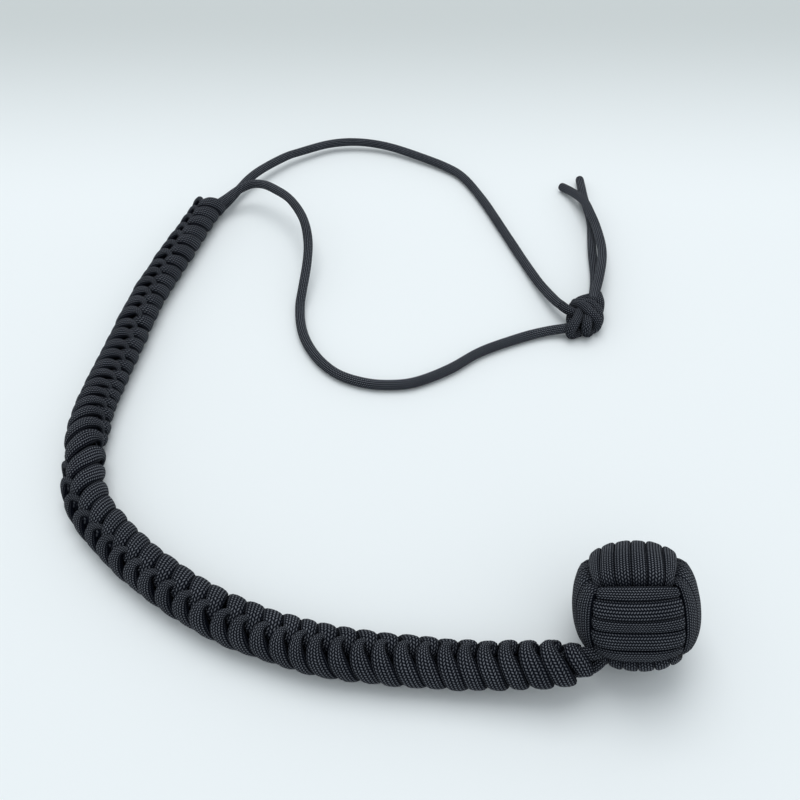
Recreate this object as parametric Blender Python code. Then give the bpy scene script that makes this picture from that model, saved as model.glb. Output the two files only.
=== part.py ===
# Monkey fist knot: a key lanyard tied from one length of 4 mm braided cord.
# A monkey's fist round a steel ball, a two-strand snake-knot sinnet, a wide loop of two
# single cords, the knot that joins them, and two cut tails. Metres, +Z up, lying on z = 0.

import bpy
import bmesh
import numpy as np

MM = 0.001
BLACK = (0.012, 0.012, 0.014)          # black nylon

# Driving sizes
CORD = 4.0 * MM                       # diameter of the braided cord
BALL = 25.4 * MM                      # one inch steel ball
GAP = 0.3 * MM                        # clearance between neighbours that touch in the real thing
HEADING_REACH = 1.5 * MM              # a route's direction is read over this on both sides

# The fist: three sets of turns round the ball, each over one set and under the other
FIST_CENTRE = np.array([84.1, -96.0, 18.3]) * MM
FRONT = np.array([-0.2535, -0.757, 0.602])        # middle of the front face
RIGHT = np.array([0.962, -0.134, 0.237])          # middle of the right face
FRONT_TURNS = 5
TOP_TURNS = 6
SIDE_TURNS = 5
WIDE_STEP = 13.5                      # degrees between the turns of a set of five
CLOSE_STEP = 12.0                     # degrees between the turns of the set of six
TURN_THICK = 2.0 * MM                 # the cord lies flattened on the ball
TURN_GAP = 0.62 * MM                  # between neighbouring turns of one set
LAYER_GAP = 0.65 * MM                 # between a turn and the set that it lies over
UNDER_RADIUS = BALL / 2 + GAP + TURN_THICK / 2
OVER_RADIUS = UNDER_RADIUS + TURN_THICK + LAYER_GAP
SHELL_POWER = 2.4                     # 2 is a ball, more is a ball with fuller corners
CHANGE_EARLY = 1.0                    # degrees off each end of the change from over to under
TURN_SHIFT = 38.0                     # each turn moves on to the next within this of -under
LOOP_POINTS = 24                      # points in one turn

# The neck: two strands side by side from the fist to the first snake knot
NECK_FROM = np.array([71.0, -110.3, 13.2]) * MM
NECK_DIA = 3.8 * MM
NECK_LIFT = 2.3 * MM                  # each strand above or below the middle of the neck

# The sinnet: the line down its middle, from the fist to the loop
SINNET_ROUTE = np.array([
    (71.7, -110.4, 12.6), (62.7, -110.8, 11.4), (54.0, -110.5, 9.9), (43.6, -109.9, 8.3),
    (33.3, -109.1, 7.1), (23.2, -108.3, 6.8), (13.1, -107.3, 6.8), (2.8, -106.2, 6.9),
    (-7.5, -104.3, 6.9), (-18.8, -101.0, 6.8), (-30.7, -96.6, 6.7), (-42.4, -90.9, 6.6),
    (-52.9, -84.3, 6.5), (-63.7, -76.5, 6.4), (-73.9, -67.7, 6.4), (-82.7, -58.8, 6.4),
    (-88.5, -50.6, 6.3), (-91.9, -42.3, 6.2), (-94.3, -31.4, 6.1), (-95.5, -20.9, 6.1),
    (-95.3, -10.3, 6.1), (-93.7, 9.0, 6.0), (-91.3, 30.8, 6.0), (-88.3, 53.4, 5.9),
    (-83.1, 76.3, 5.8), (-78.0, 96.5, 5.6), (-72.7, 118.0, 5.5)]) * MM
SEGMENTS = 6
KNOTS_EACH = 9                        # snake knots on one side of a segment
EDGE_HALF = 7.5 * MM                  # half width across the two rows of bumps
FACE_HALF = 7.0 * MM                  # half width across the two flat faces
RIB = 1.2 * MM                        # height of a bump over the groove behind it
DOME_RADIUS = 12.0 * MM               # rounded end of a segment
DOME_RING = 0.6                       # of a segment's width, where its dome has a ring of points
SIDES = 12
NECK_AXIS = 2.6 * MM                  # along the route, where the neck's strands end
SINNET_START = NECK_AXIS + NECK_DIA / 2 + GAP
# How far the rows of bumps have rolled round the sinnet, in degrees, against knots counted
ROLL_KNOTS = [0, 8, 16, 20, 24, 28, 31, 35, 42, 51]
ROLL_TURNED = [0, 45, 65, 98, 134, 200, 236, 262, 287, 320]
TOWARDS_VIEWER = np.array([0.0, -0.676, 0.737])
# The cord is drawn a little tighter towards the loop: the sinnet's girth against knots counted
GIRTH_KNOTS = [0, 6, 11, 16, 20, 26, 30, 38, 46, 51, 54]
GIRTH = [1.0, 1.02, 1.04, 1.01, 0.97, 0.965, 0.92, 0.905, 0.885, 0.83, 0.83]

# The loop, its knot and the two tails
EXIT = np.array([-69.6, 116.7]) * MM  # where the loop's cords leave the last snake knot
LEG_A_ROUTE = np.array([
    (-69.6, 116.7, 4.3), (-65.1, 124.4, 4.6), (-60.9, 133.4, 5.2), (-56.9, 140.9, 5.6),
    (-51.2, 148.9, 5.5), (-41.2, 160.3, 5.0), (-34.2, 165.7, 4.5), (-20.1, 173.9, 4.0),
    (-5.9, 175.8, 4.0), (8.9, 172.9, 3.5), (23.5, 165.4, 3.0), (37.8, 156.2, 2.5),
    (46.8, 147.0, 2.2), (55.0, 128.7, 2.1), (62.3, 106.7, 2.1), (69.1, 85.5, 2.1),
    (75.3, 65.9, 3.0), (80.1, 52.7, 5.0), (82.5, 47.9, 6.0)]) * MM
LEG_B_ROUTE = np.array([
    (-69.6, 116.7, 8.7), (-64.8, 121.7, 9.1), (-59.5, 126.1, 10.1), (-53.3, 127.4, 11.4),
    (-47.3, 124.8, 12.8), (-41.8, 120.2, 13.5), (-33.9, 112.2, 13.5), (-27.0, 98.5, 13.0),
    (-24.0, 85.3, 11.0), (-23.8, 73.2, 8.0), (-25.1, 58.3, 4.5), (-25.6, 51.7, 2.6),
    (-24.4, 40.6, 2.1), (-21.2, 30.0, 2.1), (-15.3, 19.8, 2.1), (-7.5, 12.2, 2.1),
    (2.6, 7.9, 2.1), (12.2, 6.9, 2.1), (22.1, 8.4, 2.1), (35.4, 15.4, 2.1),
    (47.7, 24.9, 2.1), (64.2, 32.9, 2.1), (75.7, 36.9, 3.5), (83.0, 38.8, 4.6)]) * MM
TAIL_A_ROUTE = np.array([
    (94.4, 49.5, 7.6), (95.7, 54.7, 7.5), (99.9, 66.4, 7.3), (104.1, 82.0, 6.9),
    (104.4, 97.9, 6.7), (103.3, 110.5, 6.6), (101.6, 121.3, 6.4), (97.8, 132.5, 3.6),
    (93.9, 139.1, 2.1)]) * MM
TAIL_B_ROUTE = np.array([
    (90.0, 50.6, 4.9), (91.3, 55.7, 4.5), (97.1, 70.7, 3.4), (101.1, 90.4, 2.1),
    (104.1, 111.3, 2.1), (103.5, 127.9, 2.1), (103.6, 145.5, 2.1)]) * MM
CORD_STEP = 11.5 * MM                 # about three diameters from point to point
KNOT_CENTRE = np.array([90.0, 41.2, 5.45]) * MM
KNOT_LONG = np.array([0.245, 0.9695, 0.0])        # the knot's longer way, over the surface
KNOT_TURNS = 3
KNOT_HALF_LONG = 7.0 * MM             # to the middle of the cord
KNOT_HALF_HIGH = 3.6 * MM
KNOT_PITCH = 4.45 * MM


def unit(v):
    v = np.asarray(v, float)
    return v / np.linalg.norm(v, axis=-1, keepdims=True)


# The fist's third axis is square to the other two
FRONT = unit(FRONT)
RIGHT = unit(RIGHT - FRONT * (RIGHT @ FRONT))
TOP = unit(np.cross(FRONT, RIGHT))


def clear_scene():
    for obj in list(bpy.data.objects):
        bpy.data.objects.remove(obj, do_unlink=True)


def material(name, colour, roughness, metallic=0.0):
    mat = bpy.data.materials.new(name)
    mat.use_nodes = True
    shader = mat.node_tree.nodes["Principled BSDF"]
    shader.inputs["Base Color"].default_value = (*colour, 1.0)
    shader.inputs["Roughness"].default_value = roughness
    shader.inputs["Metallic"].default_value = metallic
    return mat


def add_object(name, points, faces, origin, colour, roughness, metallic=0.0):
    mesh = bpy.data.meshes.new(name)
    mesh.from_pydata((np.asarray(points) - origin).tolist(), [], faces)
    work = bmesh.new()
    work.from_mesh(mesh)
    bmesh.ops.recalc_face_normals(work, faces=work.faces)
    work.to_mesh(mesh)
    work.free()
    obj = bpy.data.objects.new(name, mesh)
    obj.location = origin
    bpy.context.collection.objects.link(obj)
    mesh.materials.append(material(name, colour, roughness, metallic))
    return obj


def joined_rings(rings, first=None, last=None):
    # Faces of a tube through equal rings of points, closed by a cap or by a point at each end
    count, sides = rings.shape[:2]
    points = rings.reshape(-1, 3)
    faces = []
    for i in range(count - 1):
        for j in range(sides):
            k = (j + 1) % sides
            faces.append((i * sides + j, i * sides + k, (i + 1) * sides + k, (i + 1) * sides + j))
    if first is None:
        faces.append(tuple(range(sides)))
    else:
        faces += [(len(points), (j + 1) % sides, j) for j in range(sides)]
        points = np.vstack([points, first])
    end = (count - 1) * sides
    if last is None:
        faces.append(tuple(end + j for j in reversed(range(sides))))
    else:
        faces += [(len(points), end + j, end + (j + 1) % sides) for j in range(sides)]
        points = np.vstack([points, last])
    return points, faces


def smooth_step(x):
    x = np.clip(x, 0.0, 1.0)
    return x * x * (3 - 2 * x)


class Route:
    # A smooth curve through hand-chosen points, read by the distance along it
    def __init__(self, points):
        ends = np.vstack([2 * points[0] - points[1], points, 2 * points[-1] - points[-2]])
        fine = []
        for a, b, c, d in zip(ends, ends[1:], ends[2:], ends[3:]):
            t = np.linspace(0, 1, 16, endpoint=False)[:, None]
            fine.append(0.5 * (2 * b + (c - a) * t + (2 * a - 5 * b + 4 * c - d) * t ** 2
                               + (3 * b - a - 3 * c + d) * t ** 3))
        self.fine = np.vstack(fine + [points[-1:]])
        for _ in range(12):
            inner = (self.fine[:-2] + 2 * self.fine[1:-1] + self.fine[2:]) / 4
            self.fine[1:-1] = inner
        steps = np.linalg.norm(np.diff(self.fine, axis=0), axis=1)
        self.at = np.concatenate([[0], np.cumsum(steps)])
        self.length = self.at[-1]

    def point(self, s):
        return np.stack([np.interp(s, self.at, self.fine[:, k]) for k in range(3)], axis=-1)

    def heading(self, s):
        s = np.clip(s, HEADING_REACH, self.length - HEADING_REACH)
        return unit(self.point(s + HEADING_REACH) - self.point(s - HEADING_REACH))


def set_of_turns(over, under, stack, count, step, over_reach, under_reach):
    # One set: the turns lie over the ball at +over and -over and pass under at +under and -under
    change_from = over_reach + CHANGE_EARLY
    change_to = 90 - under_reach - CHANGE_EARLY
    # Points of a quarter turn, closest together where the cord dives
    quarter = np.interp(np.arange(LOOP_POINTS / 4) / (LOOP_POINTS / 4),
                        [0, 1 / 3, 2 / 3, 1], [0, 90 - change_to, 90 - change_from, 90])
    loop = np.concatenate([quarter, 180 - quarter[1:][::-1], [90]])
    loop = np.unique(np.concatenate([loop, loop + 180]).round(6))
    angle = np.concatenate([loop + 360 * k for k in range(count)])[1:]
    shift = TURN_SHIFT
    turn = sum(smooth_step((angle - 360 * k + shift) / (2 * shift)) for k in range(1, count))
    tilt = np.radians(step * (turn - (count - 1) / 2))
    round_ = np.radians(angle)
    from_over = np.degrees(np.arccos(np.clip(np.abs(np.sin(round_)), 0, 1)))
    shown = 1 - smooth_step((from_over - change_from) / (change_to - change_from))
    flat = np.sin(round_)[:, None] * over - np.cos(round_)[:, None] * under
    aim = np.cos(tilt)[:, None] * flat + np.sin(tilt)[:, None] * stack
    own = np.stack([aim @ FRONT, aim @ RIGHT, aim @ TOP], axis=1)
    fuller = (np.abs(own) ** SHELL_POWER).sum(1) ** (-1 / SHELL_POWER)
    radius = (UNDER_RADIUS + (OVER_RADIUS - UNDER_RADIUS) * shown) * fuller
    middle = aim * radius[:, None]
    ahead = unit(np.gradient(middle, axis=0))
    across = np.cos(tilt)[:, None] * stack - np.sin(tilt)[:, None] * flat
    across = unit(across - (across * ahead).sum(1)[:, None] * ahead)
    out = np.cross(ahead, across)
    wide_over = np.radians(step) * OVER_RADIUS - TURN_GAP
    wide_under = np.radians(step) * UNDER_RADIUS * 0.965 - TURN_GAP
    width = wide_under + (wide_over - wide_under) * shown
    return middle, across, out, width, angle


def turn_rings(middle, across, out, width):
    # Six-sided flattened section, its widest points along the set
    side = np.array([1, 0.5, -0.5, -1, -0.5, 0.5])
    up = np.array([0, 1, 1, 0, -1, -1])
    return (middle[:, None] + across[:, None] * (side[:, None] * width[:, None, None] / 2)
            + out[:, None] * (up[:, None] * TURN_THICK / 2))


def least_gap(rings, middle, angle, apart):
    # Least distance between the surfaces of stretches further apart than one half turn
    best = 1.0
    mids = (rings + np.roll(rings, -1, axis=1)) / 2
    skin = np.concatenate([rings, mids], axis=1)
    for i in range(len(rings)):
        far = np.abs(angle - angle[i]) > apart
        if not far.any():
            continue
        other = skin[far].reshape(-1, 3)
        gap = np.linalg.norm(skin[i][:, None] - other[None], axis=2).min()
        best = min(best, gap)
    return best


def cut_at_floor(obj):
    # Takes off what lies below the surface the object stands on
    cutter_mesh = bpy.data.meshes.new("floor_cutter")
    work = bmesh.new()
    bmesh.ops.create_cube(work, size=1.0)
    work.to_mesh(cutter_mesh)
    work.free()
    cutter = bpy.data.objects.new("floor_cutter", cutter_mesh)
    bpy.context.collection.objects.link(cutter)
    cutter.scale = (0.6, 0.6, 0.02)
    cutter.location = (0.0, 0.0, -0.01)
    cutter.hide_render = True
    cutter.display_type = "WIRE"
    cut = obj.modifiers.new("Floor", "BOOLEAN")
    cut.operation = "DIFFERENCE"
    cut.solver = "EXACT"
    cut.object = cutter


def make_fist():
    sphere = bmesh.new()
    bmesh.ops.create_uvsphere(sphere, u_segments=24, v_segments=16, radius=BALL / 2)
    mesh = bpy.data.meshes.new("core_ball")
    sphere.to_mesh(mesh)
    sphere.free()
    mesh.materials.append(material("core_ball", (0.55, 0.55, 0.56), 0.3, 1.0))
    ball = bpy.data.objects.new("core_ball", mesh)
    ball.location = FIST_CENTRE
    bpy.context.collection.objects.link(ball)

    front_reach = FRONT_TURNS * WIDE_STEP / 2
    top_reach = TOP_TURNS * CLOSE_STEP / 2
    side_reach = SIDE_TURNS * WIDE_STEP / 2
    sets = [
        ("turns_front", FRONT, RIGHT, TOP, FRONT_TURNS, WIDE_STEP, top_reach, side_reach),
        ("turns_top", TOP, FRONT, RIGHT, TOP_TURNS, CLOSE_STEP, side_reach, front_reach),
        ("turns_side", RIGHT, TOP, FRONT, SIDE_TURNS, WIDE_STEP, front_reach, top_reach)]
    for name, over, under, stack, count, step, over_reach, under_reach in sets:
        middle, across, out, width, angle = set_of_turns(
            over, under, stack, count, step, over_reach, under_reach)
        rings = turn_rings(middle, across, out, width)
        gap = least_gap(rings, middle, angle, 180.0)
        print(f"{name}: {count} loops, least gap to itself {gap / MM:.2f} mm")
        points, faces = joined_rings(rings + FIST_CENTRE)
        obj = add_object(name, points, faces, FIST_CENTRE, BLACK, 0.7)
        if points[:, 2].min() < -0.05 * MM:
            cut_at_floor(obj)


def rounded_strand(name, start, end, dia, origin):
    # A short straight cord with one flat end and one rounded end
    way = unit(end - start)
    side = unit(np.cross(way, (0, 0, 1)))
    up = np.cross(side, way)
    turn = np.radians(np.arange(SIDES) * 360 / SIDES)
    section = np.cos(turn)[:, None] * side + np.sin(turn)[:, None] * up
    reach = np.linalg.norm(end - start)
    stations = [(0.0, 1.0), (reach, 1.0)]
    stations += [(reach + dia / 2 * np.sin(a), np.cos(a)) for a in np.radians([25, 50, 70])]
    rings = np.array([start + way * along + section * dia / 2 * size for along, size in stations])
    tip = start + way * (reach + dia / 2)
    points, faces = joined_rings(rings, last=tip)
    return add_object(name, points, faces, origin, BLACK, 0.7)


def make_sinnet():
    # The first pivot is the axis through the rounded ends of the neck's strands
    route = Route(SINNET_ROUTE)
    each = (route.length - SINNET_START) / SEGMENTS
    print(f"sinnet: {(route.length - SINNET_START) / MM:.1f} mm along its middle")
    for k in range(SEGMENTS):
        low = SINNET_START + each * k
        pivot = NECK_AXIS if k == 0 else low
        make_segment(f"sinnet_{k + 1}", route, low + GAP / 2, low + each - GAP / 2, pivot)
    return route


def make_segment(name, route, low, high, pivot):
    # A ribbed length: rings follow the slant of the bumps, and each end is a shallow dome
    base = FACE_HALF - RIB / 2
    dome = DOME_RADIUS - np.sqrt(DOME_RADIUS ** 2 - base ** 2)
    pitch = (high - low - 2 * dome) / KNOTS_EACH
    turn = np.arange(SIDES) * 360 / SIDES
    row_a = np.cos(np.radians(turn)) > 0.01
    row_b = np.cos(np.radians(turn)) < -0.01
    seam = ~(row_a | row_b)
    from_middle = np.where(row_a, (turn + 180) % 360 - 180, turn - 180)
    slant = np.where(seam, 0.0, from_middle / 60 * pitch / 2)
    ring = np.arange(2 * KNOTS_EACH + 1)
    fade = np.clip(np.minimum(ring, ring[::-1]) / 2, 0, 1)
    s = (low + dome + ring * pitch / 2)[:, None] + slant * fade[:, None]
    crest = np.where((ring % 2 == 0)[:, None], row_a, row_b)
    crest[[0, -1]] = False
    rings = [section(route, s, turn, np.where(crest, 0.0, RIB))]
    deep = DOME_RADIUS - np.sqrt(DOME_RADIUS ** 2 - (base * DOME_RING) ** 2)
    drop = EDGE_HALF - DOME_RING * (EDGE_HALF - RIB)
    rings.insert(0, section(route, np.full((1, SIDES), low + deep), turn, drop))
    rings.append(section(route, np.full((1, SIDES), high - deep), turn, drop))
    points, faces = joined_rings(np.concatenate(rings), route.point(low), route.point(high))
    obj = add_object(name, points, faces, route.point(pivot), BLACK, 0.7)
    if points[:, 2].min() < 0:
        cut_at_floor(obj)


def section(route, s, turn, drop):
    # Points round the sinnet's middle line at the distances s, below its full size by drop
    ahead = route.heading(s)
    facing = unit(TOWARDS_VIEWER - (ahead @ TOWARDS_VIEWER)[..., None] * ahead)
    left = np.cross(ahead, facing)
    knots = (s - SINNET_START) / (route.length - SINNET_START) * SEGMENTS * KNOTS_EACH
    angle = np.radians(turn - np.interp(knots, ROLL_KNOTS, ROLL_TURNED))
    way = np.cos(angle)[..., None] * facing + np.sin(angle)[..., None] * left
    full = 1 / np.hypot(np.cos(np.radians(turn)) / EDGE_HALF,
                        np.sin(np.radians(turn)) / FACE_HALF)
    girth = np.interp(knots, GIRTH_KNOTS, GIRTH)
    return route.point(s) + way * (girth * (full - drop))[..., None]


def make_neck(route):
    # The two strands end in a half ball on the axis on which the sinnet swings
    axis_at = route.point(NECK_AXIS)
    for name, lift in (("neck_strand_upper", NECK_LIFT), ("neck_strand_lower", -NECK_LIFT)):
        shift = np.array([0, 0, lift])
        rounded_strand(name, NECK_FROM + shift, axis_at + shift, NECK_DIA, axis_at)


def cord_curve(name, points, origin):
    route = Route(points)
    steps = int(round(route.length / CORD_STEP))
    along = np.linspace(0, route.length, steps + 1)
    read = route.point(along)
    read[:, 2] = np.maximum(read[:, 2], CORD / 2 + 0.05 * MM)
    curve = bpy.data.curves.new(name, "CURVE")
    curve.dimensions = "3D"
    spline = curve.splines.new("POLY")
    spline.points.add(len(read) - 1)
    for node, place in zip(spline.points, read):
        node.co = (*(place - origin), 1.0)
    curve.bevel_depth = CORD / 2
    curve.bevel_resolution = 2
    curve.use_fill_caps = True
    curve.materials.append(material(name, BLACK, 0.7))
    obj = bpy.data.objects.new(name, curve)
    obj.location = origin
    bpy.context.collection.objects.link(obj)
    print(f"{name}: {route.length / MM:.1f} mm, {len(read)} points")


def make_loop():
    origin = np.array([*EXIT, SINNET_ROUTE[-1][2]])
    for name, points in (("loop_leg_a", LEG_A_ROUTE), ("loop_leg_b", LEG_B_ROUTE),
                         ("tail_a", TAIL_A_ROUTE), ("tail_b", TAIL_B_ROUTE)):
        cord_curve(name, points, origin)
    along = unit(KNOT_LONG)
    across = np.cross(along, (0, 0, 1))
    angle = np.arange(0, 360 * KNOT_TURNS + 1, 360 / LOOP_POINTS)
    round_ = np.radians(angle)
    forward = (angle / 360 - KNOT_TURNS / 2) * KNOT_PITCH
    middle = (KNOT_CENTRE + across * forward[:, None]
              + along * (KNOT_HALF_LONG * np.sin(round_))[:, None]
              - np.array([0, 0, KNOT_HALF_HIGH]) * np.cos(round_)[:, None])
    ahead = unit(np.gradient(middle, axis=0))
    side = unit(across - (ahead @ across)[:, None] * ahead)
    out = np.cross(ahead, side)
    turn = np.radians(np.arange(6) * 60)
    rings = (middle[:, None] + CORD / 2 * (np.cos(turn)[None, :, None] * side[:, None]
                                           + np.sin(turn)[None, :, None] * out[:, None]))
    gap = least_gap(rings, middle, angle, 180.0)
    print(f"joining_knot: {KNOT_TURNS} loops, least gap to itself {gap / MM:.2f} mm")
    points, faces = joined_rings(rings)
    add_object("joining_knot", points, faces, origin, BLACK, 0.7)


clear_scene()
make_fist()
make_neck(make_sinnet())
make_loop()
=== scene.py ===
import math
import bpy
import numpy as np
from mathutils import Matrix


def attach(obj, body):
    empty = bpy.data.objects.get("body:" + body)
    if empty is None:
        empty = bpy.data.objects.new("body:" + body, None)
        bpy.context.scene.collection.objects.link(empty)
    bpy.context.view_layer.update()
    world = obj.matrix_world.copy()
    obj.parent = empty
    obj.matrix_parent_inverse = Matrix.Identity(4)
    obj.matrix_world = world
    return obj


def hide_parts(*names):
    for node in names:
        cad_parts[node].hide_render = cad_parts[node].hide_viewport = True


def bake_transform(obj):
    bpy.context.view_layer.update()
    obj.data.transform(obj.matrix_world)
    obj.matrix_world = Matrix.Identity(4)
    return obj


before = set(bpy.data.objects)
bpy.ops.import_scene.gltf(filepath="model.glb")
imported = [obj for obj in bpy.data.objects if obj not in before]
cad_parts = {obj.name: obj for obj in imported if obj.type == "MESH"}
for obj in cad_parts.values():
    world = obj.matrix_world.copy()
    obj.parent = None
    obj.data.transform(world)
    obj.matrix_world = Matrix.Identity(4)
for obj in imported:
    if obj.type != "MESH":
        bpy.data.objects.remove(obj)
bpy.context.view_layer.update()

# Monkey fist lanyard: black 4 mm braided cord lying on a pale table. The object is made in metres, and
# its points are listed in millimetres and multiplied by mm, unless a note says metres.
mm = 0.001
cordWidth = 4.0 * mm
rng = np.random.default_rng(7)  # for the free cords' uneven width


# Camera

# The eye, how far it looks down in degrees, and the lens and the sensor's width in millimetres
camera = dict(at=(16.0 * mm, -224.4 * mm, 246.0 * mm), down=47.5, lens=39.6, sensor=36, near=10 * mm)


def makeCamera():
    data = bpy.data.cameras.new("camera")
    data.lens = camera["lens"]
    data.sensor_width = camera["sensor"]
    data.clip_start = camera["near"]
    obj = bpy.data.objects.new("camera", data)
    obj.location = camera["at"]
    obj.rotation_euler = (math.radians(90 - camera["down"]), 0, 0)
    bpy.context.scene.collection.objects.link(obj)
    bpy.context.scene.camera = obj


makeCamera()
print("the camera is set")


# Curves and tubes

def unit(v):
    # Each row at length 1
    v = np.asarray(v, float)
    return v / np.linalg.norm(v, axis=-1, keepdims=True)


def squareTo(v, ahead):
    # Each row without its share of the way ahead, at length 1
    return unit(v - (v * ahead).sum(1)[:, None] * ahead)


def smoothStep(x):
    # 0 below 0, 1 above 1, and 3 x^2 - 2 x^3 between
    x = np.clip(x, 0, 1)
    return x * x * (3 - 2 * x)


def throughPoints(points, steps):
    # Catmull-Rom: on each stretch a cubic that leaves every point along the line between its neighbours
    points = np.asarray(points, float)
    ends = np.vstack([2 * points[0] - points[1], points, 2 * points[-1] - points[-2]])
    a, b, c, d = (ends[i:len(ends) - 3 + i, None] for i in range(4))
    t = np.linspace(0, 1, steps, endpoint=False)[None, :, None]
    fine = 0.5 * (2 * b + (c - a) * t + (2 * a - 5 * b + 4 * c - d) * t ** 2
                  + (3 * b - a - 3 * c + d) * t ** 3)
    return np.vstack([fine.reshape(-1, points.shape[1]), points[-1:]])


class Route:
    # A smooth line through given points in millimetres, read by the distance along it in metres
    def __init__(self, points, steps=16, passes=12):
        self.fine = throughPoints(np.array(points) * mm, steps)
        for _ in range(passes):
            # every point but the ends moves halfway to the middle of its neighbours
            self.fine[1:-1] = (self.fine[:-2] + 2 * self.fine[1:-1] + self.fine[2:]) / 4
        steps = np.linalg.norm(np.diff(self.fine, axis=0), axis=1)
        self.at = np.concatenate([[0], np.cumsum(steps)])
        self.length = self.at[-1]

    def point(self, s):
        return np.stack([np.interp(s, self.at, self.fine[:, k]) for k in range(3)], axis=-1)

    def heading(self, s, reach=1.5 * mm):
        s = np.clip(s, reach, self.length - reach)
        return unit(self.point(s + reach) - self.point(s - reach))


def tube(middle, out, width, thick, sides=16, bulge=2.2, along=0.0, paintedLightAndMelt=1.0, packed=False):
    # A section carried along the path middle: the superellipse |2 x/width|^bulge + |2 y/thick|^bulge = 1
    # with y along out. In the UV map u counts the cord's columns of stitches by the distance round the
    # section, and v counts millimetres of cord from along. Each point gets a factor for painted light and
    # shade, which for a melted end also holds its real darkening: the value given at its place on the path,
    # and where turns are packed side by side, painted shade on all but the crown, where y is high.
    count = len(middle)
    ahead = unit(np.gradient(middle, axis=0))
    out = squareTo(out, ahead)
    across = np.cross(ahead, out)
    turn = np.arange(sides) * 2 * np.pi / sides
    x = np.sign(np.cos(turn)) * np.abs(np.cos(turn)) ** (2 / bulge)
    y = np.sign(np.sin(turn)) * np.abs(np.sin(turn)) ** (2 / bulge)
    edge = np.column_stack([x * np.mean(width), y * np.mean(thick)])
    u = np.concatenate([[0], np.cumsum(np.linalg.norm(np.roll(edge, -1, 0) - edge, axis=1))])
    u *= cordLook["columns"] / u[-1]
    v = along + np.concatenate([[0], np.cumsum(np.linalg.norm(np.diff(middle, axis=0), axis=1))]) / mm
    width = np.broadcast_to(width, count)[:, None, None] / 2
    thick = np.broadcast_to(thick, count)[:, None, None] / 2
    rings = middle[:, None] + across[:, None] * x[:, None] * width + out[:, None] * y[:, None] * thick
    # where turns are packed, painted shade darkens all of a section but its crown
    crown = smoothStep((y - cordLook["crownFrom"]) / cordLook["crownWidth"]) if packed else np.ones(sides)
    paintedLightAndMeltAtPoints = np.broadcast_to(paintedLightAndMelt, count)[:, None] * crown
    # four-sided faces from each ring to the next
    i, j = np.meshgrid(np.arange(count - 1), np.arange(sides), indexing="ij")
    k = (j + 1) % sides
    quads = np.stack([i * sides + j, i * sides + k, (i + 1) * sides + k, (i + 1) * sides + j], -1)
    quadUv = np.stack([np.stack([u[j], u[j + 1], u[j + 1], u[j]], -1),
                       np.stack([v[i], v[i], v[i + 1], v[i + 1]], -1)], -1)
    # a fan of triangles closes each end
    j = np.arange(sides)
    k = (j + 1) % sides
    first, last = count * sides, count * sides + 1
    end = (count - 1) * sides
    caps = np.concatenate([np.stack([np.full(sides, first), k, j], -1),
                           np.stack([np.full(sides, last), end + j, end + k], -1)])
    capU = np.tile(np.stack([u[j], u[j + 1], u[j]], -1), (2, 1))
    capV = np.concatenate([np.full((sides, 3), v[0]), np.full((sides, 3), v[-1])])
    return dict(points=np.vstack([rings.reshape(-1, 3), middle[:1], middle[-1:]]),
                quads=quads.reshape(-1, 4), caps=caps,
                uvs=np.vstack([quadUv.reshape(-1, 2), np.stack([capU, capV], -1).reshape(-1, 2)]),
                paintedLightAndMeltAtPoints=np.concatenate([paintedLightAndMeltAtPoints.ravel(), paintedLightAndMeltAtPoints[0, :1], paintedLightAndMeltAtPoints[-1, :1]]))


def piece(name, tubes, material):
    # One mesh object from several tubes, with the cord's own coordinates in its UV map
    faces, base = [], 0
    for part in tubes:
        faces += (part["quads"] + base).tolist() + (part["caps"] + base).tolist()
        base += len(part["points"])
    # what would dip under the table lies flat on it
    points = np.vstack([part["points"] for part in tubes])
    points[:, 2] = np.maximum(points[:, 2], 0)
    uvs = np.vstack([part["uvs"] for part in tubes])
    paintedLightAndMeltAtPoints = np.concatenate([part["paintedLightAndMeltAtPoints"] for part in tubes])
    mesh = bpy.data.meshes.new(name)
    mesh.from_pydata(points.tolist(), [], faces)
    layer = mesh.uv_layers.new(name="cord")
    layer.data.foreach_set("uv", uvs.astype(np.float32).ravel())
    # the factor of painted light and shade, with a melted end's real darkening, is kept as an attribute
    paintedLightAndMeltLayer = mesh.attributes.new("paintedLightAndMeltLayer", "FLOAT", "POINT")
    paintedLightAndMeltLayer.data.foreach_set("value", paintedLightAndMeltAtPoints.astype(np.float32))
    mesh.polygons.foreach_set("use_smooth", np.ones(len(mesh.polygons), bool))
    mesh.materials.append(material)
    mesh.validate()
    obj = bpy.data.objects.new(name, mesh)
    bpy.context.scene.collection.objects.link(obj)
    return obj


# Materials

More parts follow.
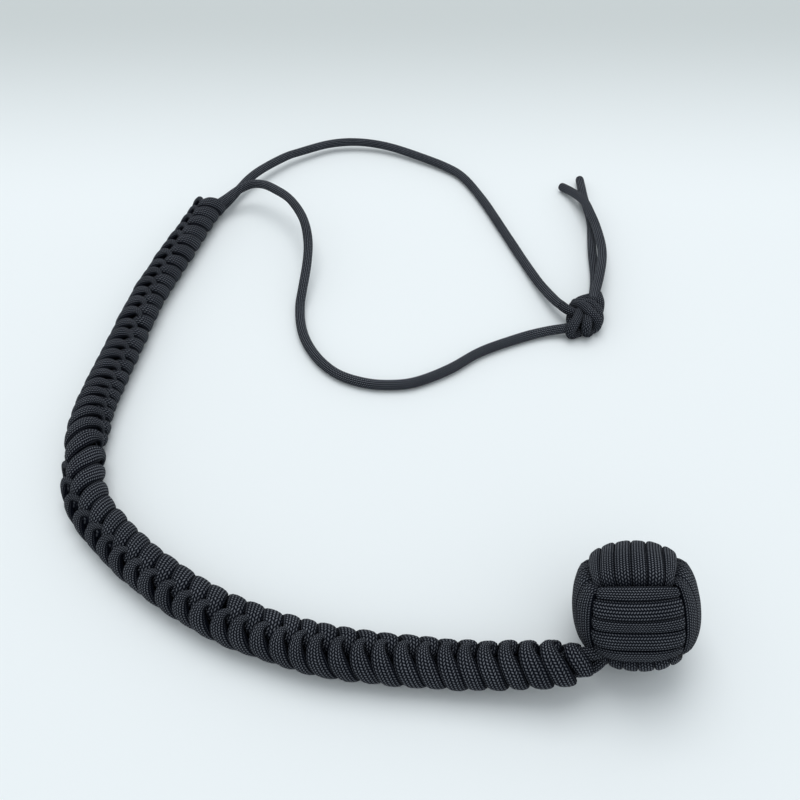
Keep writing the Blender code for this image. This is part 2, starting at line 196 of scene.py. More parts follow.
class Nodes:
    # Short names for building a node tree
    def __init__(self, name):
        self.material = bpy.data.materials.new(name)
        self.material.use_nodes = True
        self.tree = self.material.node_tree
        self.shader = self.tree.nodes["Principled BSDF"]
        self.place = self.add("TexCoord").outputs["Object"]  # the object's own coordinates

    def add(self, kind):
        return self.tree.nodes.new("ShaderNode" + kind)

    def put(self, socket, value):
        # An output is linked to the socket, a number or a colour is set on it
        if isinstance(value, bpy.types.NodeSocket):
            self.tree.links.new(value, socket)
        else:
            socket.default_value = value

    def surface(self, values):
        # Sets the shader's inputs by name
        for name, value in values.items():
            self.put(self.shader.inputs[name], value)

    def math(self, operation, *values):
        node = self.add("Math")
        node.operation = operation
        for socket, value in zip(node.inputs, values):
            self.put(socket, value)
        return node.outputs[0]

    def line(self, value, atZero, gain):
        # atZero + gain value
        return self.math("ADD", atZero, self.math("MULTIPLY", value, gain))

    def blendValue(self, factor, a, b):
        # a at factor 0, b at factor 1
        return self.math("ADD", self.math("MULTIPLY", a, self.math("SUBTRACT", 1.0, factor)),
                         self.math("MULTIPLY", b, factor))

    def product(self, first, *others):
        for value in others:
            first = self.math("MULTIPLY", first, value)
        return first

    def split(self, vector):
        node = self.add("SeparateXYZ")
        self.put(node.inputs[0], vector)
        return node.outputs

    def noise(self, scale, detail):
        # Blender's noise in the object's own coordinates
        node = self.add("TexNoise")
        self.put(node.inputs["Vector"], self.place)
        self.put(node.inputs["Scale"], scale)
        self.put(node.inputs["Detail"], detail)
        return node.outputs[0]

    def mixColour(self, factor, a, b):
        node = self.add("Mix")
        node.data_type = "RGBA"
        self.put(node.inputs[0], factor)
        self.put(node.inputs[6], (*a, 1))
        self.put(node.inputs[7], (*b, 1))
        return node.outputs[2]


cordLook = dict(
    # columns of stitches round the cord, and millimetres of cord to one crossing of its yarns
    columns=16, stitch=0.76,
    # how deep a stitch drops at its sides and ends, how deep the ribs' grooves are and where they lie
    sideDrop=0.9, endDrop=0.95, endPower=2.4, ribDrop=0.7, ribFrom=0.25,
    # where the crown of a packed turn begins, and how far it takes to lose its painted shade
    crownFrom=0.25, crownWidth=0.7,
    relief=0.17 * mm, fibreRelief=0.12,
    # The colour runs from dark in the grooves to light on the crowns of the stitches, a painted shade and
    # painted highlight that contrast sharpens
    dark=(0.0001, 0.0010, 0.0042), light=(0.170, 0.185, 0.211), contrast=2.4,
    # noise scale and detail, then the shade's factor at 0 and its gain, and the colour's factor under the
    # deepest painted shade
    fibres=(2600.0, 2.0), fibreShade=(0.5, 0.8), wear=(85.0, 3.0), wearShade=(0.6, 0.8), deepestPaintedShade=0.04,
    roughGroove=0.8, roughCrown=0.5, specular=0.04,
    sheen=0.02, sheenRoughness=0.4, sheenTint=(0.75, 0.8, 0.9))
steelLook = dict(colour=(0.56, 0.57, 0.58), marks=(900.0, 2.0), rough=(0.12, 0.2))


def cordMaterial():
    # Two families of yarns cross, a = u + v/stitch and b = u - v/stitch. Each yarn lies over two of the
    # others and then under two, and shows as one slanted stitch in its column. A stitch is round across
    # and drops at both its ends: (1 - sideDrop (2 across - 1)^2) (1 - endDrop |2 ahead - 1|^endPower).
    # The columns of stitches stand up as ribs, 1 - ribDrop (2 rib - 1)^2, with rib counted across one.
    look = cordLook
    n = Nodes("blackCord")
    uv = n.add("UVMap")
    uv.uv_map = "cord"
    u, v, _ = n.split(uv.outputs[0])
    crossings = n.math("DIVIDE", v, look["stitch"])
    a = n.math("ADD", u, crossings)
    b = n.math("SUBTRACT", u, crossings)
    count = n.math("FLOORED_MODULO", n.math("ADD", n.math("FLOOR", a), n.math("FLOOR", b)), 4.0)
    # count is 0 and 1 along a stitch of family a, and 2 and 3 along one of family b
    aOnTop = n.math("LESS_THAN", count, 1.5)
    second = n.math("FLOORED_MODULO", count, 2.0)
    partA, partB = n.math("FRACT", a), n.math("FRACT", b)
    across = n.line(n.blendValue(aOnTop, partB, partA), -1.0, 2.0)
    ahead = n.math("MULTIPLY", 0.5, n.math("ADD", second, n.blendValue(aOnTop, partA, partB)))
    ends = n.math("POWER", n.math("ABSOLUTE", n.line(ahead, -1.0, 2.0)), look["endPower"])
    rib = n.line(n.math("FRACT", n.math("SUBTRACT", u, look["ribFrom"])), -1.0, 2.0)
    height = n.product(n.line(n.product(across, across), 1.0, -look["sideDrop"]),
                       n.line(ends, 1.0, -look["endDrop"]),
                       n.line(n.product(rib, rib), 1.0, -look["ribDrop"]))
    # The crowns are lighter than the grooves, as a painted highlight and painted shade, with uneven fibres
    # and wear. Between packed turns the cord has painted shade, because little light gets there.
    paintedLightAndMeltLayer = n.add("Attribute")
    paintedLightAndMeltLayer.attribute_name = "paintedLightAndMeltLayer"
    fibres = n.noise(*look["fibres"])
    shade = n.product(n.math("POWER", height, look["contrast"]), n.line(fibres, *look["fibreShade"]),
                      n.line(n.noise(*look["wear"]), *look["wearShade"]),
                      n.line(paintedLightAndMeltLayer.outputs["Fac"], look["deepestPaintedShade"], 1 - look["deepestPaintedShade"]))
    bump = n.add("Bump")
    n.put(bump.inputs["Strength"], 1.0)
    n.put(bump.inputs["Distance"], look["relief"])
    n.put(bump.inputs["Height"], n.math("ADD", height, n.math("MULTIPLY", fibres, look["fibreRelief"])))
    n.surface({"Base Color": n.mixColour(shade, look["dark"], look["light"]),
               "Roughness": n.line(height, look["roughGroove"], look["roughCrown"] - look["roughGroove"]),
               "Normal": bump.outputs[0],
               "Specular IOR Level": look["specular"],
               "Sheen Weight": look["sheen"],
               "Sheen Roughness": look["sheenRoughness"],
               "Sheen Tint": (*look["sheenTint"], 1)})
    return n.material


def steelMaterial():
    n = Nodes("ballSteel")
    n.surface({"Base Color": (*steelLook["colour"], 1),
               "Metallic": 1.0,
               "Roughness": n.line(n.noise(*steelLook["marks"]), *steelLook["rough"])})
    return n.material


blackCord = cordMaterial()
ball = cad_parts["core_ball"]
ball.data.materials.clear()
ball.data.materials.append(steelMaterial())
print("materials are made")


# The free cords: two sides of the loop and two tails

# A route's first point is where the cord leaves the sinnet or the knot
legA = dict(node="loop_leg_a", route=[
    (-69.3, 116.3, 3.2), (-65.0, 124.4, 3.5), (-60.9, 133.4, 4.2), (-56.9, 140.9, 5.1),
    (-51.2, 148.9, 5.5), (-41.2, 160.3, 5.0), (-34.2, 165.7, 4.5), (-20.1, 173.9, 4.0),
    (-5.9, 175.8, 4.0), (8.9, 172.9, 3.5), (23.5, 165.4, 3.0), (37.8, 156.2, 2.5),
    (46.8, 147.0, 2.2), (55.0, 128.7, 2.1), (62.3, 106.7, 2.1), (69.1, 85.5, 2.1),
    (75.3, 65.9, 3.0), (80.1, 52.7, 5.0), (82.5, 47.9, 6.0)])
legB = dict(node="loop_leg_b", route=[
    (-69.0, 116.0, 7.4), (-64.6, 121.0, 7.8), (-59.5, 125.6, 9.2), (-53.3, 127.4, 11.2),
    (-47.3, 124.8, 12.8), (-41.8, 120.2, 13.5), (-33.9, 112.2, 13.5), (-27.0, 98.5, 13.0),
    (-24.0, 85.3, 11.0), (-23.8, 73.2, 8.0), (-25.1, 58.3, 4.5), (-25.6, 51.7, 2.6),
    (-24.4, 40.6, 2.1), (-21.2, 30.0, 2.1), (-15.3, 19.8, 2.1), (-7.5, 12.2, 2.1), (2.6, 7.9, 2.1),
    (12.2, 6.9, 2.1), (22.1, 8.4, 2.1), (35.4, 15.4, 2.1), (47.7, 24.9, 2.1), (64.2, 32.9, 2.1),
    (75.0, 36.4, 2.5), (83.0, 37.0, 3.6)])
tailA = dict(node="tail_a", route=[
    (95.4, 49.5, 7.6), (96.9, 54.9, 7.5), (100.5, 66.4, 7.3), (104.1, 82.0, 6.9), (104.4, 97.9, 6.7),
    (103.3, 110.5, 6.6), (101.6, 121.3, 6.4), (97.8, 132.5, 3.6), (93.9, 139.1, 2.1)])
tailB = dict(node="tail_b", route=[
    (94.6, 49.8, 3.4), (96.9, 56.2, 3.1), (99.8, 70.4, 2.3), (101.6, 90.4, 2.1),
    (104.1, 111.3, 2.1), (103.5, 127.9, 2.1), (103.6, 145.5, 2.1)])
# How finely a cord is stepped and how far it stays off the table; thick is a share of its width. A factor
# above 1 paints free cords a little lighter than tied ones, which is painted light, and the last row is for a
# melted end.
free = dict(step=0.6 * mm, sealedStep=0.3 * mm, clear=0.05 * mm, thick=0.97, paintedLightAndMelt=1.3,
            waves=(2.9 * mm, 5.3 * mm, 8.7 * mm), uneven=0.025,
            melted=0.8 * mm, meltEdge=0.5 * mm, meltThin=0.1, meltDark=1.1)


def freeCord(name, facts, sealed=False):
    # A round cord along the route, its width changed by uneven times the mean of three sines. A sealed
    # end is melted: darker and a tenth thinner over its last 0.8 mm. Returns the object, path and length.
    route = Route(facts["route"])
    s = np.linspace(0, route.length, int(route.length / free["sealedStep" if sealed else "step"]))
    middle = route.point(s)
    middle[:, 2] = np.maximum(middle[:, 2], cordWidth / 2 + free["clear"])
    ripple = sum(np.sin(s / wave + rng.uniform(0, 6)) for wave in free["waves"]) / len(free["waves"])
    melt = smoothStep((s - route.length + free["melted"]) / free["meltEdge"]) * sealed
    width = cordWidth * (1 + free["uneven"] * ripple) * (1 - free["meltThin"] * melt)
    up = np.tile([0.0, 0.0, 1.0], (len(s), 1))
    # free cords get painted light, taken down at a melted end, which is really darker
    paintedLightAndMelt = free["paintedLightAndMelt"] - free["meltDark"] * melt
    obj = piece(name, [tube(middle, up, width, width * free["thick"], bulge=2.0, paintedLightAndMelt=paintedLightAndMelt)], blackCord)
    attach(obj, "loop")
    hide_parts(facts["node"])
    return obj, middle, route.length


sideA, sideAPath, sideALength = freeCord("loopSideA", legA)
sideB, sideBPath, sideBLength = freeCord("loopSideB", legB)
endA, endAPath, endALength = freeCord("tailA", tailA, sealed=True)
endB, endBPath, endBLength = freeCord("tailB", tailB, sealed=True)
print("the free cords are made")


# The joining knot

# A doubled overhand knot: two cords side by side over its top, the rim behind them and two turns that
# wrap the sides of the loop where these come in. Widths are shares of the cord's own, and the weave of
# each row of points begins another along millimetres on. The knot's cords get a little painted shade.
knot = dict(
    step=0.5 * mm, clear=0.03 * mm, width=1.02, thick=0.94, paintedLightAndMelt=0.9, rise=4 * mm, along=21.0, cords=dict(
    bandOver=[(87.7, 50.6, 3.5), (88.7, 48.7, 6.0), (89.9, 46.1, 8.0), (91.4, 43.1, 8.8), (93.2, 40.2, 8.4),
        (95.1, 38.6, 6.6), (95.6, 38.1, 4.4), (94.3, 38.0, 2.3), (90.7, 38.2, 2.1)],
    bandBehind=[(88.6, 51.9, 4.0), (89.6, 49.7, 6.2), (91.2, 47.9, 7.5), (93.4, 46.8, 8.0), (95.6, 44.6, 7.5),
        (96.6, 42.3, 6.0), (96.7, 40.9, 4.0), (94.9, 39.3, 2.2), (91.8, 40.6, 2.1)],
    rimLeft=[(97.3, 52.2, 7.0), (95.3, 52.4, 6.6), (92.6, 52.6, 5.6), (90.2, 52.0, 4.8), (88.3, 49.7, 3.8),
        (87.6, 47.4, 2.5), (89.2, 44.8, 2.1)],
    rimRight=[(97.4, 53.7, 7.4), (97.8, 50.1, 7.2), (97.8, 48.0, 6.4), (97.3, 45.9, 5.0), (96.3, 44.2, 3.2),
        (93.8, 43.0, 2.1)],
    fingerLeft=[(91.4, 48.9, 5.0), (89.2, 43.8, 6.3), (87.5, 39.3, 7.1), (85.6, 35.8, 6.8), (84.3, 34.4, 4.8),
        (85.1, 34.8, 2.3), (88.4, 36.5, 2.0)],
    fingerRight=[(93.9, 46.5, 5.0), (92.1, 41.5, 6.2), (91.1, 37.1, 6.9), (90.6, 34.8, 5.8),
        (90.8, 35.0, 3.8), (92.0, 36.2, 2.1), (94.1, 39.4, 2.0)],
    standingA=[(82.4, 47.9, 6.0), (84.2, 45.5, 6.1), (86.1, 44.3, 5.8), (88.2, 44.0, 5.0), (90.7, 43.1, 4.2),
        (93.5, 42.7, 4.0)],
    standingB=[(83.0, 37.0, 3.6), (85.0, 37.3, 4.0), (87.2, 38.9, 4.2), (90.5, 41.9, 4.2), (93.9, 45.5, 4.2)],
    inside=[(90.0, 47.0, 4.0), (87.5, 46.1, 3.4), (86.0, 44.0, 2.8), (86.6, 41.4, 2.4), (90.3, 41.2, 2.1)],
    tailRootA=[(95.6, 50.0, 7.6), (94.7, 48.4, 6.6), (92.7, 47.1, 5.0), (91.1, 43.7, 4.2)],
    tailRootB=[(95.9, 52.6, 3.4), (93.9, 50.0, 3.0), (91.7, 45.7, 2.4)]))


def makeKnot():
    # A cord through each row of points, its section turned up and away from the middle of its row
    tubes = []
    for k, points in enumerate(knot["cords"].values()):
        route = Route(points)
        s = np.linspace(0, route.length, int(route.length / knot["step"]))
        middle = route.point(s)
        middle[:, 2] = np.maximum(middle[:, 2], cordWidth / 2 + knot["clear"])
        out = unit(middle - np.mean(middle, axis=0) * [1, 1, 0] + [0, 0, knot["rise"]])
        tubes.append(tube(middle, out, cordWidth * knot["width"], cordWidth * knot["thick"], bulge=2.0,
                          along=knot["along"] * k, paintedLightAndMelt=knot["paintedLightAndMelt"]))
    obj = piece("joiningKnot", tubes, blackCord)
    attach(obj, "loop")
    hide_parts("joining_knot")
    return obj


joiningKnot = makeKnot()
print("the joining knot is made")


# The sinnet: two strands of snake knots

sinnet = dict(
    # Knots are counted from the fist. The first stands at start along the route, a bend follows after
    # each nine, and the pieces end at the cuts, so that each bend lies within one piece.
    start=4.8 * mm, knots=54, each=9, cuts=(0, 5, 14, 23, 32, 42, 51, 56), blendReach=14 * mm,
    # No cord comes nearer to the route's start than nearest or runs further than beyond past its end,
    # and it stays clear of the table
    nearest=3.5 * mm, beyond=2 * mm, clear=0.02 * mm,
    # Loops differ a little in distance from the middle, place and width
    seed=1000, strandSeeds=100, unevenFar=0.02, unevenPlace=0.03, unevenWidth=0.03,
    # How narrow and wide a loop may lie for the room that it has, its width at no girth and the gain, and
    # about how many millimetres of cord are in one loop
    room=(0.7, 1.15), slim=(0.5, 0.6), weavePerLoop=31.0, route=[
        (71.7, -110.4, 12.6), (62.7, -110.8, 11.4), (54.0, -110.5, 9.9), (43.6, -109.9, 8.3),
        (33.3, -109.1, 7.1), (23.2, -108.3, 6.8), (13.1, -107.3, 6.8), (2.8, -106.2, 6.9),
        (-7.5, -104.3, 6.9), (-18.8, -101.0, 6.8), (-30.7, -96.6, 6.7), (-42.4, -90.9, 6.6),
        (-52.9, -84.3, 6.5), (-63.7, -76.5, 6.4), (-73.9, -67.7, 6.4), (-82.7, -58.8, 6.4),
        (-88.5, -50.6, 6.3), (-91.9, -42.3, 6.2), (-94.3, -31.4, 6.1), (-95.7, -20.9, 6.1),
        (-95.8, -10.3, 6.1), (-95.1, 0.0, 6.1), (-93.9, 9.0, 6.0), (-91.3, 30.8, 6.0), (-88.3, 53.4, 5.9),
        (-83.1, 76.3, 5.8), (-78.0, 96.5, 5.6), (-72.7, 118.0, 5.5)],
    # How far the bumps have rolled round the sinnet, in degrees, by knots
    rollKnots=[0, 2, 5, 8, 11, 13, 15, 17.5, 20, 22, 23.6, 25.5, 27.3, 28.3, 29.3, 30.2, 31, 32.2, 33.3,
               34.7, 38, 40, 42, 44, 46, 48, 50, 54],
    rolled=[14, 20, 33, 46, 58, 68, 77, 86, 92, 99, 105, 116, 135, 149, 167, 188, 208, 231, 247,
            257, 264, 272, 281, 287, 296, 307, 318, 337],
    # How full the sinnet is, by knots
    girthKnots=[-1, -0.4, 0.0, 0.5, 1.0, 2.0, 6, 11, 16, 20, 25, 27, 29, 32.5, 35, 38, 46, 51, 53.2,
                53.8],
    girth=[0.4, 0.45, 0.65, 0.88, 0.98, 1.0, 1.02, 1.04, 1.01, 0.98, 0.99, 0.99, 1.02, 1.01, 0.93,
           0.905, 0.885, 0.84, 0.84, 0.94],
    # Each knot's place against an even spacing, in knots: the first third is tied close, the bend loosely
    shiftKnots=[-1, 0, 2, 4.5, 7.5, 9.5, 12.5, 14.2, 16.2, 18.3, 20.3, 22.2, 25.6, 26.8, 27.9, 29, 29.9,
                31.3, 32.6, 33.4, 34.4, 35.4, 36.3, 37.3, 38.2, 40.3, 42.3, 44.3, 48.3, 50.3, 52.3, 56],
    shift=[0.2, 0.0, 0.02, -0.19, -0.42, -0.55, -0.66, -0.93, -1.02, -1.0, -0.9, -0.72, -0.68, -0.54, -0.34,
           -0.1, 0.1, 0.2, -0.01, -0.12, -0.34, -0.66, -0.87, -1.13, -1.27, -1.55, -1.66, -1.56, -1.69,
           -1.59, -1.4, -1.15],
    # How far a loop leans over more than the others, in knots a quarter turn
    leanKnots=[0, 5, 8, 22, 25, 30, 33, 56], lean=[-0.2, -0.18, 0, 0, 0.18, 0.18, 0, 0],
    # One loop of a strand: angle round the sinnet, distance from its middle, place along it in knots,
    # width, thickness, the way the section faces and how far it tips over along the sinnet. It comes up
    # out of a recess, sweeps round the outside and hooks back at its narrow tip into the next recess.
    loop=[(-105, 2.6, -0.61, 3.5, 2.8, -100, 0.2), (-90, 3.5, -0.59, 4.5, 3.0, -92, 0.2),
          (-75, 4.6, -0.54, 5.3, 3.2, -77, 0.15), (-58, 5.25, -0.45, 5.9, 3.4, -59, 0.1),
          (-30, 5.65, -0.25, 6.3, 3.5, -30, 0), (0, 5.75, -0.02, 6.4, 3.5, 0, 0),
          (30, 5.75, 0.26, 6.1, 3.5, 30, 0), (55, 5.75, 0.44, 5.0, 3.3, 55, -0.1),
          (76, 5.75, 0.48, 3.9, 2.9, 77, -0.1), (89, 5.75, 0.42, 3.1, 2.5, 91, -0.1),
          (99, 5.5, 0.29, 2.4, 2.2, 103, 0), (105, 4.9, 0.12, 2.1, 2.1, 116, 0),
          (109, 3.4, 0.0, 2.2, 2.2, 140, 0), (125, 1.9, 0.02, 2.4, 2.4, 165, 0),
          (190, 1.4, 0.25, 2.6, 2.6, 208, 0.2)],
    # How much fuller the cord lies in the middle, nearer than coreReach millimetres, by knots
    coreKnots=[9, 14, 22, 28, 33, 35, 38], core=[0, 0.8, 1.1, 1.5, 1.5, 0.5, 0],
    coreReach=4.6, coreEdge=1.6, coreThick=0.6,
    # How wide the cord lies by knots: loosely tied loops stand apart
    fullKnots=[0, 22, 25, 31, 33, 44, 48, 56], full=[1, 1, 0.89, 0.92, 1, 0.97, 0.94, 0.94],
    # A strand gets painted shade near the sinnet's middle: the distance from the middle where it starts to
    # fade, and how far it takes to be gone
    paintedShadeFrom=1.6, paintedShadeWidth=3.6)
sinnetRoute = Route(sinnet["route"])
knotPitch = (sinnetRoute.length - sinnet["start"]) / sinnet["knots"]


def loopRows(side, first, last):
    # The loop's table is repeated down the sinnet, a whole knot further and a whole turn on each time,
    # and its angles and distances become places across the sinnet: x = far cos angle, y = far sin angle
    table = np.array(sinnet["loop"], float)
    rows = []
    for k in range(first, last):
        draw = np.random.default_rng(sinnet["seed"] + sinnet["strandSeeds"] * side + k)
        row = table.copy()
        row[:, 1] *= 1 + sinnet["unevenFar"] * draw.normal()
        row[:, 2] += k + sinnet["unevenPlace"] * draw.normal()
        row[:, 2] += np.interp(k, sinnet["leanKnots"], sinnet["lean"]) * np.clip(row[:, 0] / 90, -1, 1)
        row[:, 3] *= 1 + sinnet["unevenWidth"] * draw.normal()
        row[:, 5] += 360 * (k - first)
        rows.append(row)
    rows.append(table[:1] + [0, 0, last, 0, 0, 360 * (last - first), 0])
    rows = np.vstack(rows)
    angle, far = np.radians(rows[:, 0]), rows[:, 1]
    return np.column_stack([far * np.cos(angle), far * np.sin(angle), rows[:, 2:]])


def spaceKnots(knots, first=-1, last=57, perKnot=20):
    # Moves knots from an even spacing to the real one, smoothed over a whole knot, and says how much
    # room there is, with 1 for an even spacing
    even = np.linspace(first, last, (last - first) * perKnot + 1)
    moved = even + np.interp(even, sinnet["shiftKnots"], sinnet["shift"])
    window = np.ones(perKnot + 1) / (perKnot + 1)
    moved = np.convolve(np.pad(moved, perKnot // 2, "reflect", reflect_type="odd"), window, "valid")
    return np.interp(knots, even, moved), np.interp(knots, even, np.gradient(moved, even))


def sinnetStrand(side, first, last, perStep=4):
    # A tube along the rows, each set round the sinnet's line at middle + girth (x axisX + y axisY), where
    # the axes turn with the roll, counted from the camera's side. Strand B, side 1, stands opposite A
    # and half a knot further.
    x, y, knots, width, thick, faces, tips = throughPoints(loopRows(side, first, last), perStep).T
    far = np.hypot(x, y)
    knots, room = spaceKnots(knots + 0.5 * side)
    s = np.clip(sinnet["start"] + knots * knotPitch, sinnet["nearest"], sinnetRoute.length + sinnet["beyond"])
    ahead = sinnetRoute.heading(s)
    middle = sinnetRoute.point(s) + ahead * np.maximum(s - sinnetRoute.length, 0)[:, None]
    facing = squareTo(unit(np.array(camera["at"]) - middle), ahead)
    left = np.cross(ahead, facing)
    roll = np.radians(np.interp(knots, sinnet["rollKnots"], sinnet["rolled"]) + 180 * side)
    axisX = np.cos(roll)[:, None] * facing - np.sin(roll)[:, None] * left
    axisY = np.cross(ahead, axisX)
    girth = np.interp(knots, sinnet["girthKnots"], sinnet["girth"])
    path = middle + (axisX * x[:, None] + axisY * y[:, None]) * girth[:, None] * mm
    path[:, 2] = np.maximum(path[:, 2], thick * mm / 2 + sinnet["clear"])
    faces = np.radians(faces)
    out = axisX * np.cos(faces)[:, None] + axisY * np.sin(faces)[:, None] + ahead * tips[:, None]
    # A loop is narrower where it has less room and where the sinnet is slim
    slim = np.clip(sinnet["slim"][0] + sinnet["slim"][1] * girth, 0, 1)
    width = width * np.clip(room, *sinnet["room"]) * slim
    width = width * np.interp(knots, sinnet["fullKnots"], sinnet["full"])
    # Where the roll is quick, the cord's way through the middle lies fuller and keeps it closed
    core = np.interp(knots, sinnet["coreKnots"], sinnet["core"])
    core = smoothStep((sinnet["coreReach"] - far) / sinnet["coreEdge"]) * core
    width, thick = width * (1 + core), thick * (1 + sinnet["coreThick"] * core)
    # loops get painted shade near the sinnet's middle, and between packed turns on all but their crowns
    return tube(path, out, width * mm, thick * mm, sides=14, bulge=2.3, packed=True,
                along=first * sinnet["weavePerLoop"],
                paintedLightAndMelt=smoothStep((far - sinnet["paintedShadeFrom"]) / sinnet["paintedShadeWidth"]))


def makeSinnet():
    # The first and the last piece ride on the first and the last part of the sinnet. Each piece between
    # them crosses one bend and keeps its place.
    cuts = sinnet["cuts"]
    parts = len(cuts) - 2
    for k, (first, last) in enumerate(zip(cuts, cuts[1:])):
        # at the far end strand B, which is half a knot further on, has one loop less
        lastB = last - 1 if k == parts else last
        obj = piece(f"snakeKnots{k + 1}", [sinnetStrand(0, first, last), sinnetStrand(1, first, lastB)],
                    blackCord)
        if k in (0, parts):
            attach(obj, f"sinnet_part_{max(k, 1)}")
        else:
            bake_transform(obj)
        if k < parts:
            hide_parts(f"sinnet_{k + 1}")


makeSinnet()
print("the sinnet is made")


# The fist

fist = dict(
    centre=np.array([84.1, -96.0, 18.3]) * mm, front=(-0.2535, -0.757, 0.602), right=(0.962, -0.134, 0.237),
    # how far from the centre a turn lies over another set and under one, how squared the whole ball is,
    # with 2 for a round one, and how much wider a turn is than its room
    over=16.5 * mm, under=14.0 * mm, shell=2.4, thickOver=2.7 * mm, thickUnder=2.4 * mm, snug=1.04,
    # how much the outermost turns are drawn in, and how far the lines between turns are set aside and
    # sway, in turns, with the sway's phase in radians
    pinch=0.16, wander=(0.08, 0.1, 3.1),
    # in degrees: where the cord's ends are tucked in, the way on to the next turn, how long before and
    # after another set's edge a turn dives, and the lap at the left, whose rise goes with the tilt
    ends=18, wayOn=72, diveBefore=1, diveAfter=4, lap=5.8, lapRise=4.2, lapTilt=30,
    # Each set has so many turns, step degrees apart. It lies over one pair of faces and over the set
    # below, goes under another pair of faces and the set above, and its turns are stacked to the third.
    sets=dict(
        front=dict(turns=5, step=14.7, over="front", under="right", stack="top",
                   below="top", above="side", laps="under", seed=4),
        top=dict(turns=6, step=14.2, over="top", under="front", stack="right",
                 below="side", above="front", laps="neither", seed=5),
        side=dict(turns=5, step=17.0, over="right", under="top", stack="front",
                  below="front", above="top", laps="over", seed=6)))


def setReach(name):
    # Degrees from the middle of a set to its edge
    return fist["sets"][name]["turns"] * fist["sets"][name]["step"] / 2


def turnsOfSet(facts, faces, perTurn=110):
    # One long cord whose angle a runs on: aim = cos tilt (sin a over - cos a under) + sin tilt stack. It
    # lies at the outer distance over its own two faces and dives to the inner one where the next set
    # lies over it; on each pass under the far side it moves one turn on. Distances are those of a ball
    # with |x|^shell + |y|^shell + |z|^shell = 1 along its own axes.
    count = facts["turns"]
    angle = np.arange(fist["ends"], 360 * count - fist["ends"], 360 / perTurn)
    turn = sum(smoothStep((angle - 360 * k) / fist["wayOn"] + 0.5) for k in range(1, count))
    a = np.radians(angle)
    fromOver = np.degrees(np.arccos(np.clip(np.abs(np.sin(a)), 0, 1)))
    limits = (setReach(facts["below"]), 90 - setReach(facts["above"]))
    low, high = min(limits) - fist["diveBefore"], max(limits) + fist["diveAfter"]
    # Towards the ends of a face the outermost turns are drawn in: an edge at b, from -1 to 1 across the
    # set, moves to b (1 - pinch q^2 b^4), with q growing to 1 where the turns dive
    drawn = fist["pinch"] * np.clip(fromOver / low, 0, 1) ** 2
    # At the left the side set's front edge lies further over the front set, lap degrees at mid height and
    # lapRise more or less at 45 degrees up or down, and the front set dives that much sooner
    onLeft = smoothStep(-2 * np.sin(a)) * (facts["laps"] == "over")
    lap = (fist["lap"] - fist["lapRise"] * np.cos(a) * math.sqrt(2)) * onLeft
    # No two turns are pulled alike: the line between two of them is set aside and sways round the ball,
    # each by about a tenth of a turn, and the outermost edges stay
    draw = np.random.default_rng(facts["seed"]).uniform(-1, 1, (3, count + 1))
    shift, sway, phase = draw * np.array(fist["wander"])[:, None]
    shift[[0, -1]] = sway[[0, -1]] = 0
    at = np.arange(count + 1)
    edges = []
    for side in (0, 1):
        line = turn + side
        line = (line + np.interp(line, at, shift) + np.interp(line, at, sway * np.cos(phase)) * np.cos(2 * a)
                + np.interp(line, at, sway * np.sin(phase)) * np.sin(a))
        b = (line - count / 2) / (count / 2)
        edges.append(b * (1 - drawn * b ** 4) * facts["step"] * count / 2 + lap * np.maximum(b, 0))
    tilt = np.radians((edges[0] + edges[1]) / 2)
    atLeft = (np.sin(a) > 0) * (np.cos(a) > 0) * (facts["laps"] == "under")
    sooner = (fist["lap"] + fist["lapRise"] * tilt / math.radians(fist["lapTilt"])) * atLeft
    shown = 1 - smoothStep((fromOver - low + sooner) / (high - low))
    flat = np.sin(a)[:, None] * faces[facts["over"]] - np.cos(a)[:, None] * faces[facts["under"]]
    aim = np.cos(tilt)[:, None] * flat + np.sin(tilt)[:, None] * faces[facts["stack"]]
    own = aim @ np.array([faces["front"], faces["right"], faces["top"]]).T
    fuller = (np.abs(own) ** fist["shell"]).sum(1) ** (-1 / fist["shell"])
    radius = (fist["under"] + (fist["over"] - fist["under"]) * shown) * fuller
    middle = fist["centre"] + aim * radius[:, None]
    width = np.radians(edges[1] - edges[0]) * radius * fist["snug"]
    thick = fist["thickUnder"] + (fist["thickOver"] - fist["thickUnder"]) * shown
    # turns get painted shade where they dive under another set, deeper as they go down
    return tube(middle, aim, width, thick, sides=24, bulge=3.2, paintedLightAndMelt=shown ** 2.5, packed=True)


def makeFist():
    front = unit(fist["front"])
    right = unit(np.array(fist["right"]) - front * (np.array(fist["right"]) @ front))
    faces = dict(front=front, right=right, top=unit(np.cross(front, right)))
    for name, facts in fist["sets"].items():
        obj = piece("fistTurns" + name.title(), [turnsOfSet(facts, faces)], blackCord)
        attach(obj, "fist")
        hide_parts("turns_" + name)


makeFist()
print("the fist is made")


# The neck

# Two strands from the fist to the first snake knot. blendStart and blendEnd are in metres.
neck = dict(
    width=4.1 * mm, thick=3.7 * mm, out=(0.0, -0.3, 1.0), steps=14,
    blendStart=(0.0726, -0.1088, 0.0125), blendEnd=(0.0656, -0.1106, 0.0125),
    strands=dict(
        upper=[(78.1, -104.1, 16.0), (74.6, -107.2, 14.9), (71.4, -108.9, 14.6), (68.6, -109.4, 14.4),
               (65.2, -109.5, 13.8), (61.4, -110.1, 11.5)],
        lower=[(77.6, -105.1, 14.0), (73.8, -109.0, 12.0), (71.0, -110.9, 10.2), (67.6, -111.8, 9.3),
               (64.0, -111.4, 9.4), (60.6, -110.3, 10.5)]))


def makeNeck():
    # A tube through the points of each strand
    for name, points in neck["strands"].items():
        path = throughPoints(np.array(points) * mm, neck["steps"])
        out = np.tile(neck["out"], (len(path), 1))
        obj = piece("neck" + name.title(), [tube(path, out, neck["width"], neck["thick"])], blackCord)
        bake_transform(obj)
        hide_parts("neck_strand_" + name)


makeNeck()
print("the neck is made")
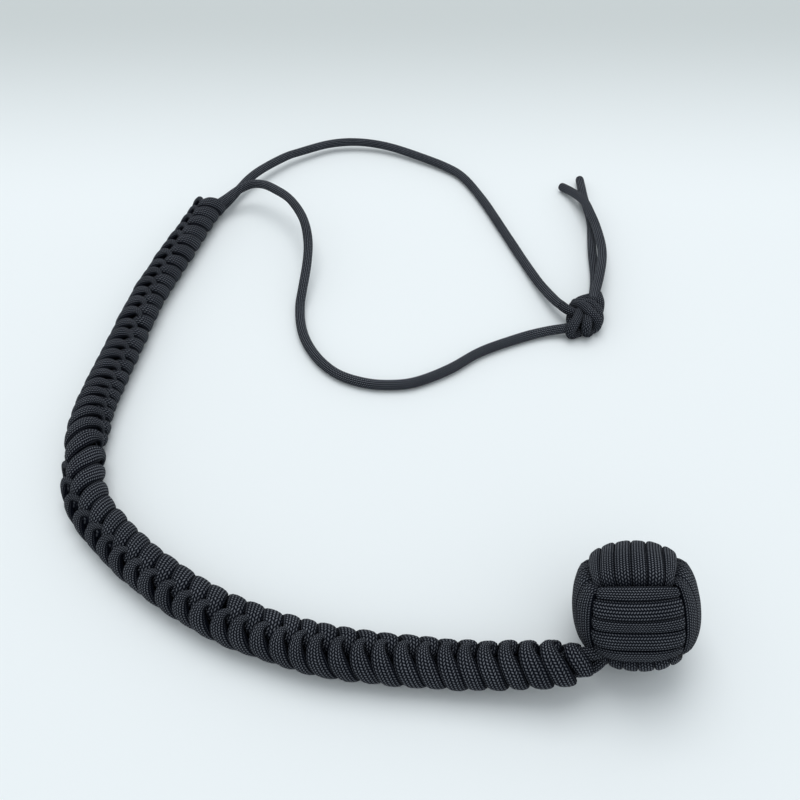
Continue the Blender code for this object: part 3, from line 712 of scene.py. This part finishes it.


# Table and light

# The far part of the table gets painted shade between two distances along y, in metres
table = dict(size=3.0, colour=(0.83, 0.875, 0.89), far=(0.56, 0.60, 0.60), shadeFrom=0.12, shadeTo=0.34,
             roughness=0.8, specular=0.2)
# Square lamps: where each stands and points, its side in metres and its power in watts
lamps = dict(key=dict(at=(-0.1, 0.85, 2.4), aim=(0, 0.05, 0), size=2.0, power=29.5),
             fill=dict(at=(0.35, -0.45, 0.7), aim=(0, 0, 0), size=0.8, power=0.3))
studio = dict(colour=(0.93, 0.97, 1.0), strength=0.68)


def makeTable():
    mesh = bpy.data.meshes.new("table")
    half = table["size"] / 2
    mesh.from_pydata([(-half, -half, 0), (half, -half, 0), (half, half, 0), (-half, half, 0)], [],
                     [(0, 1, 2, 3)])
    obj = bpy.data.objects.new("table", mesh)
    bpy.context.scene.collection.objects.link(obj)
    n = Nodes("tableTop")
    shade = n.add("MapRange")
    shade.interpolation_type = "SMOOTHSTEP"
    n.put(shade.inputs["From Min"], table["shadeFrom"])
    n.put(shade.inputs["From Max"], table["shadeTo"])
    n.put(shade.inputs["Value"], n.split(n.place)[1])
    n.surface({"Base Color": n.mixColour(shade.outputs[0], table["colour"], table["far"]),
               "Roughness": table["roughness"],
               "Specular IOR Level": table["specular"]})
    mesh.materials.append(n.material)


def makeLamp(name, facts):
    # A square area light that shines from at towards aim
    data = bpy.data.lights.new(name, "AREA")
    data.energy = facts["power"]
    data.size = facts["size"]
    obj = bpy.data.objects.new(name, data)
    obj.location = facts["at"]
    back = unit(np.array(facts["at"], float) - np.array(facts["aim"], float))
    obj.rotation_euler = (math.acos(back[2]), 0, math.atan2(back[1], back[0]) + math.pi / 2)
    bpy.context.scene.collection.objects.link(obj)


def makeStudio():
    world = bpy.data.worlds.new("studio")
    world.use_nodes = True
    background = world.node_tree.nodes["Background"]
    background.inputs[0].default_value = (*studio["colour"], 1)
    background.inputs[1].default_value = studio["strength"]
    bpy.context.scene.world = world
    bpy.context.scene.view_settings.view_transform = "Standard"


makeTable()
for name, facts in lamps.items():
    makeLamp(name, facts)
makeStudio()
print("the table and the lights are made")
